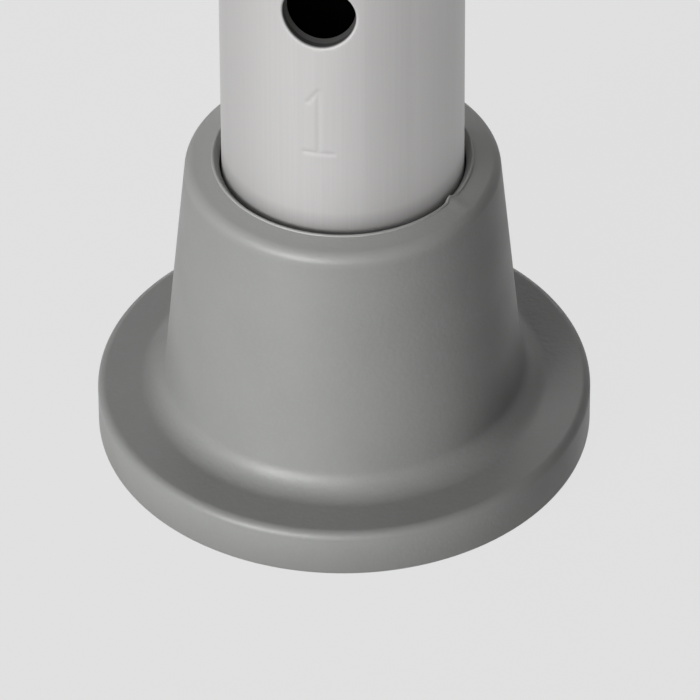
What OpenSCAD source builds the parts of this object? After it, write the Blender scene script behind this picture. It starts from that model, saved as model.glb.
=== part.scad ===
// Adult underarm crutch: a telescoping leg on a rubber tip, two bent side bows, a hand grip that bolts
// across them at one of seven heights, and a padded saddle that rests under the arm.
// All sizes are in millimetres. +Z runs up the leg from the middle of the sole, X spans the two bows,
// and the numbered setting holes face -Y.

/* [Leg] */
// Outside diameter of the leg tube
leg_od = 22; // [20:0.5:24]
// Wall of the leg tube
leg_wall = 1.2; // [1:0.1:1.5]
// Length of the leg tube
leg_len = 337; // [330:1:380]
// Number of height settings
setting_count = 7; // [4:1:7]
// Number of settings by which the frame is drawn up from the lowest
drawn_count = 3; // [0:1:3]
// Distance from one setting hole to the next
setting_pitch = 25; // [22:0.5:28]
// Lowest setting hole above the top of the rubber tip
first_hole_up = 24.3; // [20:0.1:28]
// Diameter of a setting hole
setting_hole_d = 6.6; // [6:0.1:7]
// Height of a stamped numeral
numeral_h = 7.5; // [5:0.1:8]
// Width of a stamped numeral
numeral_w = 3.1; // [2.5:0.1:4]
// Width of a numeral's groove
numeral_stroke = 0.55; // [0.4:0.05:0.8]
// Depth of a numeral's groove
numeral_depth = 0.2; // [0.1:0.05:0.4]
// Centre of a numeral below the centre of its hole
numeral_drop = 11.6; // [10:0.05:12]

/* [Rubber tip] */
// Height of the tip
tip_h = 30; // [28:0.5:36]
// Diameter of the base flange
tip_base_d = 45.5; // [44:0.5:56]
// Thickness of the base flange
tip_flange_h = 4.8; // [3.5:0.1:6]
// Rounding of the flange's upper edge
tip_flange_round = 0.8; // [0.5:0.1:1.5]
// Rounding of the edge of the sole
tip_sole_round = 0.4; // [0.3:0.1:1.2]
// Wall of the cone around the tube at the collar
tip_collar_wall = 3.3; // [3:0.1:4]
// Wall of the cone around the tube at the flange
tip_foot_wall = 5.7; // [5:0.1:6.5]
// Fillet between cone and flange
tip_fillet_r = 2.4; // [1.5:0.1:3.2]
// Rounding of the collar's outer edge
tip_lip_r = 1.2; // [1:0.1:2]
// Chamfer of the collar's inner edge
tip_mouth = 0.3; // [0.2:0.05:0.5]
// Rubber below the washer
tip_sole_t = 8.5; // [7:0.5:10]
// Depth of the ring grooves in the sole
tread_depth = 1.2; // [0.8:0.1:2]
// Width of a ring groove
tread_groove = 2; // [1.5:0.1:2.5]
// Width of a ring land between two grooves
tread_land = 4; // [3:0.1:4.5]
// Number of ring grooves
tread_count = 3; // [1:1:3]
// Thickness of the steel washer in the socket
tip_washer_t = 1.5; // [1:0.1:2]

/* [Leg cuff] */
// Wall of the cuff around the leg tube
cuff_wall = 2.4; // [2:0.1:3]
// Length of the cuff below the top of the leg tube
cuff_skirt = 16; // [12:0.5:25]
// Thickness of the cuff's lip over the end of the leg tube
cuff_lip = 3; // [2:0.1:4]

/* [Centre post] */
// Wall of the centre post
post_wall = 1.5; // [1.2:0.1:1.6]
// Length of the post below the snap button
post_tail = 22; // [16:0.5:24]
// Length of the post above the straight foot of the bows
post_overrun = 12; // [6:0.5:16]

/* [Snap button] */
// Height of the button's dome above the leg tube
button_proud = 3; // [2:0.1:4]
// Radial room around the button in its hole
button_gap = 0.3; // [0.2:0.05:0.4]
// Rim of the button's retaining flange
button_rim = 0.8; // [0.6:0.05:1]
// Thickness of the retaining flange
button_flange_t = 1.4; // [1:0.1:1.6]
// Thickness of the spring leaf
leaf_t = 0.6; // [0.4:0.05:0.8]
// Width of the spring leaf
leaf_w = 6; // [5:0.1:7]
// Length of the spring leaf from the button to its fold
leaf_len = 40; // [30:1:50]
// Inside radius of the spring's fold
leaf_fold_r = 2; // [1.5:0.1:2.5]

/* [Bows] */
// Outside diameter of the bow tubes
bow_od = 19; // [18:0.5:22]
// Wall of the bow tubes
bow_wall = 1.2; // [1:0.1:1.5]
// Length of the straight foot of each bow, beside the post
bow_foot = 100; // [90:1:120]
// Height over which the bows spread apart above the foot
spread_rise = 175; // [165:1:220]
// Bend radius of the spread, at the tube's centre line
spread_bend_r = 120; // [80:1:130]
// Clear width between the bows at the hand grip
bow_span = 113; // [105:0.5:118]
// Height over which the bows flare out above the hand grip
flare_rise = 170; // [150:1:200]
// Bend radius of the flare, at the tube's centre line
flare_bend_r = 200; // [120:1:240]
// Distance by which each bow flares out
flare_out = 18; // [10:0.5:22]
// Length of the straight top of each bow
bow_top_len = 115; // [100:1:140]
// Growth of a bow tube's radius in its bends
bend_swell = 0.1; // [0.05:0.01:0.2]
// Room between the cuff and the bows at the lowest setting
stop_gap = 4; // [2:0.5:8]

/* [Moulded pieces] */
// Rounding of the outer edges of the plugs, the cuff, the grip caps and the sockets
edge_round = 0.8; // [0.4:0.1:1]
// Thickness of the plugs' and caps' outer flange
plug_flange = 2.5; // [2:0.1:4]
// Length of a plug inside its tube
plug_len = 12; // [8:0.5:14]

/* [Junction] */
// Thickness of the spacers between post and bows
spacer_t = 2.5; // [2:0.1:4]
// Height of a spacer
spacer_h = 22; // [16:0.5:26]
// Width of a spacer
spacer_w = 15; // [12:0.5:16]
// Lower junction bolt above the lower end of the bows
junction_inset = 22; // [18:0.5:26]
// Distance between the two junction bolts
junction_pitch = 56; // [45:1:62]

/* [Bolts] */
// Thread diameter of the bolts
bolt_d = 6; // [5:0.1:6.2]
// Radial room around a bolt in its hole
bolt_gap = 0.25; // [0.15:0.05:0.4]
// Diameter of the domed bolt heads
bolt_head_d = 12; // [10:0.1:13]
// Height of the domed bolt heads
bolt_head_h = 3.6; // [3:0.1:4.5]
// Width across flats of the hexagon socket in the bolt heads
bolt_key = 4; // [3:0.1:5]
// Depth of the hexagon socket
bolt_key_depth = 2; // [1.5:0.1:2.4]
// Diameter of the saddle washers
washer_d = 17; // [14:0.5:18]
// Thickness of a saddle washer over the tube's crown
washer_t = 2.2; // [1.5:0.1:3]
// Length by which a saddle washer wraps down the side of the tube
washer_wrap = 3; // [2:0.1:4]
// Width across flats of the cap nuts
cap_nut_af = 10; // [9:0.1:11]
// Height of the hexagon of the cap nuts
cap_nut_h = 5; // [4:0.1:6]
// Thread of the junction bolts inside a cap nut
cap_nut_thread = 7; // [5.5:0.1:7.5]

/* [Hand grip] */
// Number of hand grip settings
grip_count = 7; // [3:1:7]
// Number of settings by which the grip is drawn up from the lowest
grip_drawn_count = 3; // [0:1:6]
// Distance from one grip hole to the next
grip_pitch = 25; // [20:0.5:28]
// Straight tube beyond the end holes
grip_margin = 22; // [20:0.5:30]
// Diameter of the grip sleeve in the middle
grip_d = 34; // [30:0.5:38]
// Diameter of the grip sleeve in its waists
grip_waist_d = 31; // [29:0.5:33]
// Diameter of the core tube under the sleeve
grip_core_d = 16; // [14:0.5:18]
// Thickness of a grip cap between the core and the bow
grip_cap_t = 6; // [5:0.5:8]
// Diameter of a grip cap
grip_cap_d = 29; // [26:0.5:30]
// Length by which a grip cap cradles the bow
grip_cradle = 4.5; // [3:0.1:6]

/* [Wing nut] */
// Diameter of the wing nut's hub
wing_hub_d = 11; // [10:0.1:13]
// Height of the wing nut's hub
wing_hub_h = 7; // [6:0.1:9]
// Span over both wings
wing_span = 32; // [26:0.5:36]
// Height of the wings above the seat
wing_h = 14; // [11:0.5:18]
// Radius of a wing's round end
wing_lobe_r = 4.5; // [3.5:0.1:5]
// Lower edge of the wings above the seat
wing_foot = 1.2; // [0.5:0.1:2]
// Thickness of a wing
wing_t = 2.6; // [2:0.1:3.5]
// Bolt thread that stands out past the hub
bolt_out = 3; // [1:0.5:6]

/* [Underarm rest] */
// Radius of the saddle's curve, at the middle of its bar
rest_curve_r = 420; // [300:5:600]
// Width of the saddle bar
bar_w = 24; // [20:0.5:28]
// Height of the saddle bar
bar_h = 14; // [12:0.5:18]
// Rounding of the saddle bar's long edges
bar_round = 4; // [2:0.5:5]
// Length of the saddle bar past each bow's centre line
bar_past = 14; // [13:0.5:18]
// Wall of the saddle's sockets
socket_wall = 3; // [2.5:0.1:4]
// Depth of the saddle's sockets
socket_depth = 38; // [30:0.5:50]
// Thickness of the saddle over the end of a bow
socket_roof = 2; // [1.5:0.1:4]
// Foam above the saddle bar
pad_over = 17; // [12:0.5:22]
// Foam below the saddle bar
pad_under = 9; // [8:0.5:10]
// Foam beside the saddle bar
pad_side = 11; // [8:0.5:14]
// Rounding of the pad's long edges
pad_round = 15; // [10:0.5:16]
// Width of the slit along the pad's underside
pad_slit = 8; // [4:0.5:14]
// Thread diameter of the saddle screws
rest_screw_d = 4; // [3.5:0.1:5]
// Diameter of the saddle screws' heads
rest_screw_head_d = 8; // [7:0.1:9]
// Height of the saddle screws' heads
rest_screw_head_h = 2.6; // [2:0.1:3]
// Length of a saddle screw inside the bow
rest_screw_in = 4; // [2:0.5:6]
// Saddle screw below the end of the bow
rest_screw_drop = 22; // [12:0.5:26]

/* [Clearances] */
// Room around pieces that are pushed together
fit_gap = 0.05; // [0.02:0.01:0.08]
// Room around pieces that slide on each other
slide_gap = 0.3; // [0.2:0.05:0.4]
// Room around soft pieces
soft_gap = 0.3; // [0.1:0.05:0.5]
// Running room in the wing nut's thread
thread_gap = 0.1; // [0.05:0.01:0.1]

/* [Hidden] */
$fn = 96;
cut = 1;

leg_r = leg_od / 2;
leg_bore_r = leg_r - leg_wall;
leg_z0 = tip_sole_t + tip_washer_t;
leg_top = leg_z0 + leg_len;
first_hole_z = tip_h + first_hole_up;
button_z = first_hole_z + drawn_count * setting_pitch;

tip_r = tip_base_d / 2;
socket_r = leg_r + fit_gap;
cone_slope = (tip_foot_wall - tip_collar_wall) / (tip_h - tip_flange_h);
cone_lean = atan(cone_slope);
cone_foot_r = leg_r + tip_foot_wall;
lip_z = tip_h - tip_lip_r;
lip_x = cone_r(lip_z) - tip_lip_r / cos(cone_lean);
fillet_z = tip_flange_h + tip_fillet_r;
fillet_x = cone_r(fillet_z) + tip_fillet_r / cos(cone_lean);

cuff_r = leg_r + cuff_wall;
cuff_top = leg_top + cuff_lip;

post_r = leg_bore_r - slide_gap;
post_bore_r = post_r - post_wall;
post_z0 = button_z - post_tail;

button_r = setting_hole_d / 2 - button_gap;
flange_r = button_r + button_rim;
flange_face = sqrt(pow(post_bore_r, 2) - pow(flange_r, 2)) - slide_gap;
leaf_face = flange_face - button_flange_t - fit_gap;
leaf_y = leaf_face - leaf_t / 2;
leaf_back = sqrt(pow(post_bore_r, 2) - pow(leaf_w / 2, 2)) - slide_gap - leaf_t / 2;

bow_r = bow_od / 2;
bow_bore_r = bow_r - bow_wall;
drop_travel = drawn_count * setting_pitch;
bow_z0 = cuff_top + drop_travel + stop_gap + plug_flange;
bow_foot_x = post_r + spacer_t + bow_r;
grip_x = bow_span / 2 + bow_r;
rest_x = grip_x + flare_out;
spread_z = bow_z0 + bow_foot;
grip_zone_z = spread_z + spread_rise;
grip_zone = (grip_count - 1) * grip_pitch + 2 * grip_margin;
flare_z = grip_zone_z + grip_zone;
bow_top_z = flare_z + flare_rise;
bow_end_z = bow_top_z + bow_top_len;
post_top = spread_z + post_overrun;

bend_lap = 1;
spread_out = grip_x - bow_foot_x;
spread_link = link_len(spread_bend_r, spread_out, spread_rise);
spread_turn = turn_angle(spread_bend_r, spread_out, spread_rise);
flare_link = link_len(flare_bend_r, flare_out, flare_rise);
flare_turn = turn_angle(flare_bend_r, flare_out, flare_rise);

bolt_r = bolt_d / 2;
bolt_hole_r = bolt_r + bolt_gap;
junction_z = [bow_z0 + junction_inset, bow_z0 + junction_inset + junction_pitch];
junction_seat = bow_foot_x + bow_r + washer_t;

grip_z = grip_zone_z + grip_margin + min(grip_drawn_count, grip_count - 1) * grip_pitch;
grip_seat = grip_x + bow_r + washer_t;
grip_core_half = bow_span / 2 - grip_cap_t;
grip_half = grip_core_half - soft_gap;
grip_crest = (grip_d - grip_waist_d) / 2;

socket_out_r = bow_r + socket_wall;
socket_len = socket_depth + socket_roof + bar_h / 2;
bar_z = bow_end_z + socket_roof + bar_h / 2;
rest_centre_z = bar_z + sqrt(pow(rest_curve_r, 2) - pow(rest_x, 2));
bar_angle = asin((rest_x + bar_past) / rest_curve_r);
pad_w = bar_w + 2 * pad_side;
pad_h = bar_h + pad_over + pad_under;
pad_shift = (pad_under - pad_over) / 2;
pad_angle = asin((rest_x + bar_past - pad_side) / rest_curve_r);
slit_deep = pad_under + bar_h / 2;
rest_screw_z = bow_end_z - rest_screw_drop;

// Strokes of the numerals 1 to 7, from -1 to 1 across and up
numerals = [
    [[[-0.75, 0.62], [0, 1], [0, -1]], [[-1, -1], [1, -1]]],
    [[[-1, 0.65], [-0.5, 1], [0.5, 1], [1, 0.7], [1, 0.35], [-1, -1], [1, -1]]],
    [[[-1, 1], [1, 1], [-0.1, 0.2], [0.5, 0.2], [1, -0.1], [1, -0.7], [0.5, -1], [-0.5, -1],
      [-1, -0.75]]],
    [[[0.5, -1], [0.5, 1], [-1, -0.45], [1, -0.45]]],
    [[[0.9, 1], [-0.8, 1], [-1, 0.15], [0.5, 0.15], [1, -0.15], [1, -0.7], [0.5, -1], [-0.5, -1],
      [-1, -0.75]]],
    [[[0.7, 1], [-0.5, 0.55], [-1, -0.1], [-1, -0.7], [-0.5, -1], [0.5, -1], [1, -0.7], [1, -0.2],
      [0.5, 0.1], [-0.6, 0.1]]],
    [[[-1, 1], [1, 1], [-0.3, -1]]]
];

// Radius of the tip's cone at height z
function cone_r(z) = cone_foot_r - (z - tip_flange_h) * cone_slope;

// Straight length between the two turns of an S-bend
function link_len(bend_r, out, rise) = sqrt(pow(2 * bend_r - out, 2) + pow(rise, 2) - pow(2 * bend_r, 2));

// Angle of each turn of an S-bend
function turn_angle(bend_r, out, rise) =
    atan2(rise, 2 * bend_r - out) - atan2(link_len(bend_r, out, rise), 2 * bend_r);

// A tube along Z
module tube(outer_r, inner_r, z0, z1) {
    translate([0, 0, z0])
        difference() {
            cylinder(r = outer_r, h = z1 - z0);
            translate([0, 0, -cut])
                cylinder(r = inner_r, h = z1 - z0 + 2 * cut);
        }
}

// A hole along X through everything, at height z
module cross_hole(r, z) {
    translate([0, 0, z])
        rotate([0, 90, 0])
            cylinder(r = r, h = 2 * (rest_x + bow_od), center = true);
}

// The same piece on the left and on the right
module both_sides() {
    children();
    mirror([1, 0, 0])
        children();
}

// One straight stroke of a numeral
module stroke(a, b) {
    translate(a)
        rotate(atan2(b.y - a.y, b.x - a.x))
            translate([-numeral_stroke / 2, -numeral_stroke / 2])
                square([norm(b - a) + numeral_stroke, numeral_stroke]);
}

module numeral(n) {
    reach = [(numeral_w - numeral_stroke) / 2, (numeral_h - numeral_stroke) / 2];
    for (path = numerals[n - 1]) {
        points = [for (p = path) [p.x * reach.x, p.y * reach.y]];
        for (i = [0 : len(points) - 2])
            stroke(points[i], points[i + 1]);
    }
}

// The groove of numeral n in the front of the leg tube
module numeral_groove(n, z) {
    intersection() {
        translate([0, 0, z])
            rotate([90, 0, 0])
                linear_extrude(leg_r + cut)
                    numeral(n);
        tube(leg_r + cut, leg_r - numeral_depth, z - numeral_h, z + numeral_h);
    }
}

// A round rod along Z, standing on the origin, with the edges of both ends rounded
module rounded_rod(r, h) {
    rotate_extrude() {
        translate([0, edge_round])
            square([r, h - 2 * edge_round]);
        square([r - edge_round, h]);
        for (y = [edge_round, h - edge_round])
            translate([r - edge_round, y])
                circle(r = edge_round);
    }
}

// A plug that fills the end of a tube and covers its rim, standing on its flange
module end_plug(outer_r, bore_r) {
    rounded_rod(outer_r, plug_flange);
    cylinder(r = bore_r - fit_gap, h = plug_flange + plug_len);
}

// A solid rod that turns from +Z towards +X, a hair fuller than the straight rods that run into it
module turned_rod(r, bend_r, angle) {
    translate([bend_r, 0, 0])
        rotate([90, 0, 180])
            rotate_extrude(angle = angle)
                translate([bend_r, 0])
                    circle(r = r + bend_swell);
}

// A straight rod that reaches from z0 to z1 and laps into the turns at its ends
module lapped_rod(r, z0, z1) {
    translate([0, 0, z0])
        cylinder(r = r, h = z1 - z0);
}

// A rod that moves over towards +X and runs on upwards
module s_bend(r, bend_r, angle, link) {
    turned_rod(r, bend_r, angle);
    translate([bend_r * (1 - cos(angle)), 0, bend_r * sin(angle)])
        rotate([0, angle, 0]) {
            lapped_rod(r, -bend_lap, link + bend_lap);
            translate([0, 0, link])
                mirror([1, 0, 0])
                    turned_rod(r, bend_r, angle);
        }
}

// A solid rod of radius r along the right bow, longer by over at both ends
module bow_rod(r, over) {
    translate([bow_foot_x, 0, 0])
        lapped_rod(r, bow_z0 - over, spread_z + bend_lap);
    translate([bow_foot_x, 0, spread_z])
        s_bend(r, spread_bend_r, spread_turn, spread_link);
    translate([grip_x, 0, 0])
        lapped_rod(r, grip_zone_z - bend_lap, flare_z + bend_lap);
    translate([grip_x, 0, flare_z])
        s_bend(r, flare_bend_r, flare_turn, flare_link);
    translate([rest_x, 0, 0])
        lapped_rod(r, bow_top_z - bend_lap, bow_end_z + over);
}

module bow() {
    color("silver")
        difference() {
            bow_rod(bow_r, 0);
            bow_rod(bow_bore_r, cut);
            for (z = junction_z)
                cross_hole(bolt_hole_r, z);
            for (i = [0 : grip_count - 1])
                cross_hole(bolt_hole_r, grip_zone_z + grip_margin + i * grip_pitch);
            translate([rest_x, 0, rest_screw_z])
                rotate([90, 0, 0])
                    cylinder(r = rest_screw_d / 2 + fit_gap, h = bow_od);
        }
}

// A washer on the outer side of the right-hand tube at x, with its flat seat facing +X
module saddle_washer(x, z, gap) {
    difference() {
        translate([x + bow_r - washer_wrap, 0, z])
            rotate([0, 90, 0])
                cylinder(d = washer_d, h = washer_wrap + washer_t);
        cross_hole(bolt_hole_r, z);
        translate([x, 0, z - washer_d])
            cylinder(r = bow_r + gap, h = 2 * washer_d);
    }
}

// A bolt along X whose domed head sits on x = seat and whose shank ends at x = tip
module domed_bolt(seat, tip, z) {
    dome_r = (pow(bolt_head_d / 2, 2) + pow(bolt_head_h, 2)) / (2 * bolt_head_h);
    translate([tip, 0, z])
        rotate([0, 90, 0])
            cylinder(r = bolt_r, h = seat - tip);
    translate([seat, 0, z])
        rotate([0, 90, 0])
            difference() {
                rotate_extrude()
                    intersection() {
                        translate([0, bolt_head_h - dome_r])
                            circle(r = dome_r);
                        square([bolt_head_d / 2, bolt_head_h]);
                    }
                translate([0, 0, bolt_head_h - bolt_key_depth])
                    cylinder(d = bolt_key / cos(30), h = bolt_key_depth + cut, $fn = 6);
            }
}

// A rectangle with round corners, centred on the origin
module round_rect(w, h, r) {
    square([w - 2 * r, h], center = true);
    square([w, h - 2 * r], center = true);
    for (sx = [-1, 1])
        for (sy = [-1, 1])
            translate([sx * (w / 2 - r), sy * (h / 2 - r)])
                circle(r = r);
}

// A bar along the saddle's curve: its section is drawn with x away from the curve's centre and y across
module rest_arc(angle) {
    both_sides()
        translate([0, 0, rest_centre_z])
            rotate([90, 0, 0])
                rotate([0, 0, 270 - angle])
                    rotate_extrude(angle = angle, $fn = 480)
                        translate([rest_curve_r, 0])
                            children();
}

// The round end of the pad at the left-hand end of its curve
module pad_end() {
    translate([0, 0, rest_centre_z])
        rotate([0, pad_angle, 0])
            translate([0, 0, -rest_curve_r - pad_shift])
                rotate([0, 0, 90])
                    rotate_extrude(angle = 180)
                        intersection() {
                            round_rect(pad_w, pad_h, pad_round);
                            translate([0, -pad_h / 2])
                                square([pad_w / 2, pad_h]);
                        }
}

module rubber_tip() {
    color([0.6, 0.6, 0.59])
        rotate_extrude()
            difference() {
                union() {
                    translate([0, tip_sole_round])
                        square([tip_r, tip_flange_h - tip_sole_round - tip_flange_round]);
                    square([tip_r - tip_sole_round, tip_flange_h - tip_flange_round]);
                    square([tip_r - tip_flange_round, tip_flange_h]);
                    translate([tip_r - tip_sole_round, tip_sole_round])
                        circle(r = tip_sole_round);
                    translate([tip_r - tip_flange_round, tip_flange_h - tip_flange_round])
                        circle(r = tip_flange_round);
                    polygon([[0, 0], [cone_foot_r, tip_flange_h],
                             [lip_x + tip_lip_r * cos(cone_lean), lip_z + tip_lip_r * sin(cone_lean)],
                             [lip_x, lip_z], [lip_x, tip_h], [0, tip_h]]);
                    translate([lip_x, lip_z])
                        circle(r = tip_lip_r);
                    difference() {
                        polygon([[cone_foot_r - cut, tip_flange_h - cut], [fillet_x, tip_flange_h - cut],
                                 [fillet_x, fillet_z], [cone_r(fillet_z) - cut, fillet_z]]);
                        translate([fillet_x, fillet_z])
                            circle(r = tip_fillet_r);
                    }
                }
                polygon([[-cut, tip_sole_t], [socket_r, tip_sole_t], [socket_r, tip_h - tip_mouth],
                         [socket_r + tip_mouth, tip_h], [socket_r + tip_mouth, tip_h + cut],
                         [-cut, tip_h + cut]]);
                for (i = [0 : tread_count - 1])
                    translate([tread_land + i * (tread_land + tread_groove), -cut])
                        square([tread_groove, tread_depth + cut]);
            }
}

module tip_washer() {
    color("gainsboro")
        translate([0, 0, tip_sole_t])
            cylinder(r = leg_r - fit_gap, h = tip_washer_t);
}

module leg_tube() {
    color("silver")
        difference() {
            tube(leg_r, leg_bore_r, leg_z0, leg_top);
            for (i = [0 : setting_count - 1]) {
                z = first_hole_z + i * setting_pitch;
                translate([0, 0, z])
                    rotate([90, 0, 0])
                        cylinder(d = setting_hole_d, h = leg_od);
                numeral_groove(i + 1, z - numeral_drop);
            }
        }
}

module leg_cuff() {
    color([0.35, 0.36, 0.36])
        translate([0, 0, leg_top - cuff_skirt])
            difference() {
                rounded_rod(cuff_r, cuff_skirt + cuff_lip);
                translate([0, 0, -cut])
                    cylinder(r = leg_r + fit_gap, h = cuff_skirt + cut);
                cylinder(r = post_r + slide_gap, h = cuff_skirt + cuff_lip + cut);
            }
}

module centre_post() {
    color("silver")
        difference() {
            tube(post_r, post_bore_r, post_z0, post_top);
            for (z = junction_z)
                cross_hole(bolt_hole_r, z);
            translate([0, 0, button_z])
                rotate([90, 0, 0])
                    cylinder(r = button_r + button_gap, h = leg_od);
        }
}

module post_foot_plug() {
    color([0.35, 0.36, 0.36])
        translate([0, 0, post_z0 - plug_flange])
            end_plug(post_r, post_bore_r);
}

module post_top_cap() {
    color([0.35, 0.36, 0.36])
        translate([0, 0, post_top + plug_flange])
            mirror([0, 0, 1])
                end_plug(post_r, post_bore_r);
}

module bow_right() {
    bow();
}

module bow_left() {
    mirror([1, 0, 0])
        bow();
}

module bow_end_plugs() {
    color([0.35, 0.36, 0.36])
        both_sides()
            translate([bow_foot_x, 0, bow_z0 - plug_flange])
                end_plug(bow_r, bow_bore_r);
}

module junction_spacers() {
    color([0.35, 0.36, 0.36])
        both_sides()
            for (z = junction_z)
                difference() {
                    translate([0, -spacer_w / 2, z - spacer_h / 2])
                        cube([bow_foot_x, spacer_w, spacer_h]);
                    translate([0, 0, z - spacer_h])
                        cylinder(r = post_r + fit_gap, h = 2 * spacer_h);
                    translate([bow_foot_x, 0, z - spacer_h])
                        cylinder(r = bow_r + fit_gap, h = 2 * spacer_h);
                    cross_hole(bolt_hole_r, z);
                }
}

module junction_washers() {
    color("gainsboro")
        both_sides()
            for (z = junction_z)
                saddle_washer(bow_foot_x, z, fit_gap);
}

module junction_bolts() {
    color("gainsboro")
        for (z = junction_z)
            domed_bolt(junction_seat, -junction_seat - cap_nut_thread, z);
}

module junction_nuts() {
    dome_r = cap_nut_af / 2;
    color("gainsboro")
        for (z = junction_z)
            translate([-junction_seat, 0, z])
                rotate([0, -90, 0])
                    difference() {
                        union() {
                            cylinder(d = cap_nut_af / cos(30), h = cap_nut_h, $fn = 6);
                            translate([0, 0, cap_nut_h])
                                sphere(r = dome_r);
                        }
                        translate([0, 0, -dome_r])
                            cylinder(r = dome_r * 2, h = dome_r);
                        translate([0, 0, -cut])
                            cylinder(r = bolt_r + fit_gap, h = cap_nut_thread + fit_gap + cut);
                    }
}

// The leaf is drawn in the YZ plane and is as wide as leaf_w along X
module button_spring() {
    fold_r = leaf_fold_r + leaf_t / 2;
    fold = [leaf_back - fold_r, leaf_len];
    front_lean = atan2(fold.x - fold_r + leaf_y, leaf_len);
    color("gainsboro")
        translate([-leaf_w / 2, 0, button_z])
            rotate([90, 0, 90])
                linear_extrude(leaf_w) {
                    translate([-leaf_face, -flange_r])
                        square([leaf_t, 2 * flange_r]);
                    translate([-leaf_y, 0])
                        rotate(-front_lean)
                            translate([-leaf_t / 2, 0])
                                square([leaf_t, leaf_len / cos(front_lean)]);
                    translate(fold)
                        intersection() {
                            difference() {
                                circle(r = fold_r + leaf_t / 2);
                                circle(r = leaf_fold_r);
                            }
                            translate([-2 * fold_r, 0])
                                square([4 * fold_r, 2 * fold_r]);
                        }
                    translate([leaf_back - leaf_t / 2, -flange_r])
                        square([leaf_t, leaf_len + flange_r]);
                }
}

module push_button() {
    dome_r = (pow(button_r, 2) + pow(button_proud / 2, 2)) / button_proud;
    button_end = leg_r + button_proud;
    color("gainsboro")
        translate([0, 0, button_z])
            rotate([90, 0, 0])
                rotate_extrude() {
                    translate([0, flange_face - button_flange_t])
                        square([flange_r, button_flange_t]);
                    translate([0, flange_face - button_flange_t])
                        square([button_r, button_end - button_proud / 2 - flange_face + button_flange_t]);
                    intersection() {
                        translate([0, button_end - dome_r])
                            circle(r = dome_r);
                        translate([0, button_end - button_proud / 2])
                            square([button_r, button_proud]);
                    }
                }
}

module underarm_saddle() {
    color([0.35, 0.36, 0.36])
        difference() {
            union() {
                rest_arc(bar_angle)
                    round_rect(bar_h, bar_w, bar_round);
                both_sides()
                    translate([rest_x, 0, bow_end_z - socket_depth])
                        rounded_rod(socket_out_r, socket_len);
            }
            both_sides() {
                translate([rest_x, 0, bow_end_z - socket_depth - cut])
                    cylinder(r = bow_r + fit_gap, h = socket_depth + cut);
                translate([rest_x, 0, rest_screw_z])
                    rotate([90, 0, 0])
                        cylinder(r = rest_screw_d / 2 + fit_gap, h = 2 * socket_out_r);
            }
        }
}

module underarm_pad() {
    color([0.5, 0.5, 0.5])
        difference() {
            union() {
                rest_arc(pad_angle)
                    translate([pad_shift, 0])
                        round_rect(pad_h, pad_w, pad_round);
                both_sides()
                    pad_end();
            }
            rest_arc(bar_angle + soft_gap / rest_curve_r * 180 / PI)
                round_rect(bar_h + 2 * soft_gap, bar_w + 2 * soft_gap, bar_round + soft_gap);
            rest_arc(bar_angle)
                translate([0, -pad_slit / 2])
                    square([slit_deep + cut, pad_slit]);
            both_sides()
                translate([rest_x, 0, bow_end_z - socket_depth])
                    cylinder(r = socket_out_r + soft_gap, h = socket_len + soft_gap);
        }
}

module rest_screws() {
    head_r = rest_screw_head_d / 2;
    dome_r = (pow(head_r, 2) + pow(rest_screw_head_h, 2)) / (2 * rest_screw_head_h);
    color("gainsboro")
        both_sides()
            translate([rest_x, 0, rest_screw_z])
                rotate([90, 0, 0]) {
                    translate([0, 0, bow_bore_r - rest_screw_in])
                        cylinder(r = rest_screw_d / 2, h = socket_out_r - bow_bore_r + rest_screw_in);
                    translate([0, 0, socket_out_r])
                        rotate_extrude()
                            intersection() {
                                translate([0, rest_screw_head_h - dome_r])
                                    circle(r = dome_r);
                                square([head_r, rest_screw_head_h]);
                            }
                }
}

module hand_grip() {
    color([0.5, 0.5, 0.5])
        translate([0, 0, grip_z])
            rotate([0, 90, 0])
                difference() {
                    rotate_extrude() {
                        translate([0, -grip_half + grip_crest])
                            square([grip_waist_d / 2, 2 * (grip_half - grip_crest)]);
                        translate([0, -grip_half])
                            square([grip_waist_d / 2 - grip_crest, 2 * grip_half]);
                        for (s = [-1, 1])
                            translate([grip_waist_d / 2 - grip_crest, s * (grip_half - grip_crest)])
                                circle(r = grip_crest);
                        for (s = [-1, 0, 1])
                            intersection() {
                                translate([0, s * grip_half / 2])
                                    grip_wave();
                                translate([0, -grip_half])
                                    square([grip_d, 2 * grip_half]);
                            }
                    }
                    cylinder(r = grip_core_d / 2 + soft_gap, h = 3 * grip_half, center = true);
                }
}

// The half section of one shallow swell of the grip sleeve, as high as the crest and half a grip long
module grip_wave() {
    chord = grip_half / 4;
    swell_r = (pow(chord, 2) + pow(grip_crest, 2)) / (2 * grip_crest);
    intersection() {
        translate([grip_d / 2 - swell_r, 0])
            circle(r = swell_r);
        translate([grip_waist_d / 2 - cut, -chord])
            square([grip_crest + 2 * cut, 2 * chord]);
    }
}

module grip_core() {
    color("silver")
        translate([0, 0, grip_z])
            rotate([0, 90, 0])
                tube(grip_core_d / 2, bolt_hole_r, -grip_core_half, grip_core_half);
}

module grip_cap() {
    color([0.35, 0.36, 0.36])
        difference() {
            translate([grip_core_half, 0, grip_z])
                rotate([0, 90, 0])
                    rounded_rod(grip_cap_d / 2, grip_cap_t + grip_cradle);
            cross_hole(bolt_hole_r, grip_z);
            translate([grip_x, 0, grip_z - grip_cap_d])
                cylinder(r = bow_r + slide_gap, h = 2 * grip_cap_d);
        }
}

module grip_cap_right() {
    grip_cap();
}

module grip_cap_left() {
    mirror([1, 0, 0])
        grip_cap();
}

module grip_bolt() {
    color("gainsboro")
        domed_bolt(grip_seat, -grip_seat - wing_hub_h - bolt_out, grip_z);
}

module grip_washers() {
    color("gainsboro")
        both_sides()
            saddle_washer(grip_x, grip_z, slide_gap);
}

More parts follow.
